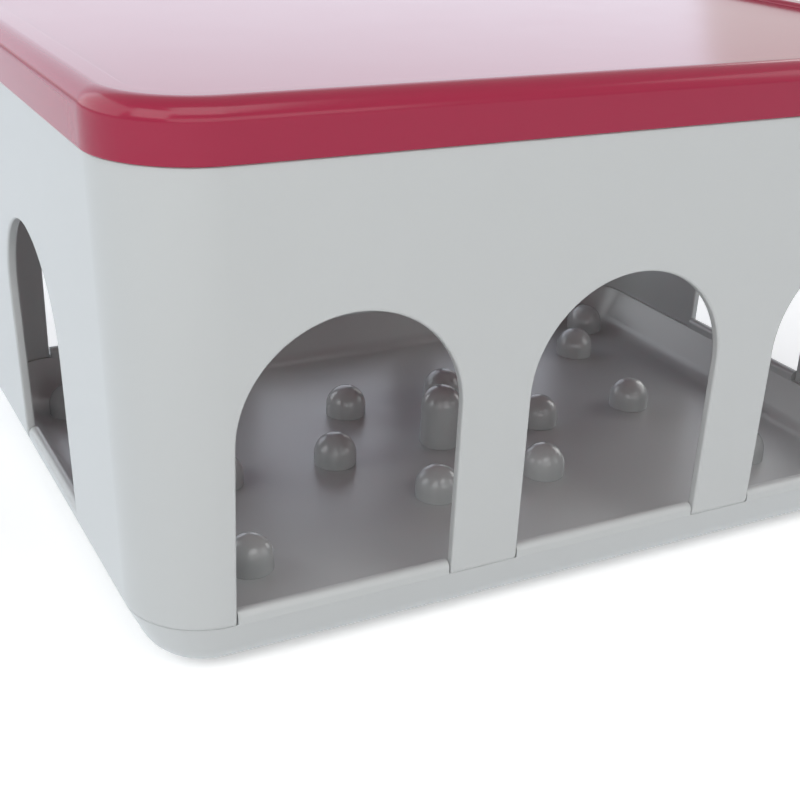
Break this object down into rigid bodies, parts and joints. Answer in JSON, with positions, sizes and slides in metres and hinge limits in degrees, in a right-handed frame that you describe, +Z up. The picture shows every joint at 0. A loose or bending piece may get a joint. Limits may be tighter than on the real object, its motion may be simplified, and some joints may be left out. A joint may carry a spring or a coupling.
{
  "type": "cat puzzle box",
  "caption": "Rectangular cat puzzle box: shallow tray with domed pegs, a lift-off arcade wall of round arches for reaching food with a paw, and a lift-off lid.",
  "frame": {"origin": "centre of the footprint, on the surface the rubber feet stand on", "axes": "+X along the long walls, +Y into the depth, +Z up through the lid"},
  "size_m": [0.2732, 0.2022, 0.1469],
  "materials": {
    "grey_plastic": "satin",
    "raspberry_plastic": "satin",
    "foot_rubber": "matte"
  },
  "bodies": {
    "tray": {"base_tray": "grey_plastic", "tall_peg": "grey_plastic", "ring_peg_1": "grey_plastic", "ring_peg_2": "grey_plastic", "ring_peg_3": "grey_plastic", "ring_peg_4": "grey_plastic", "ring_peg_5": "grey_plastic", "ring_peg_6": "grey_plastic", "side_peg_1": "grey_plastic", "side_peg_2": "grey_plastic", "inner_peg_1": "grey_plastic", "inner_peg_2": "grey_plastic", "inner_peg_3": "grey_plastic", "inner_peg_4": "grey_plastic", "outer_peg_1": "grey_plastic", "outer_peg_2": "grey_plastic", "outer_peg_3": "grey_plastic", "outer_peg_4": "grey_plastic", "rubber_foot_1": "foot_rubber", "rubber_foot_2": "foot_rubber", "rubber_foot_3": "foot_rubber", "rubber_foot_4": "foot_rubber"},
    "wall": {"arcade_wall": "grey_plastic"},
    "lid": {"lid": "raspberry_plastic"}
  },
  "joints": [
    {"name": "cover_lift", "type": "slide", "parent": "tray", "child": "wall", "axis": [0, 0, 1], "range_m": [0, 0.05]},
    {"name": "lid_lift", "type": "slide", "parent": "wall", "child": "lid", "axis": [0, 0, 1], "range_m": [0, 0.06]}
  ]
}
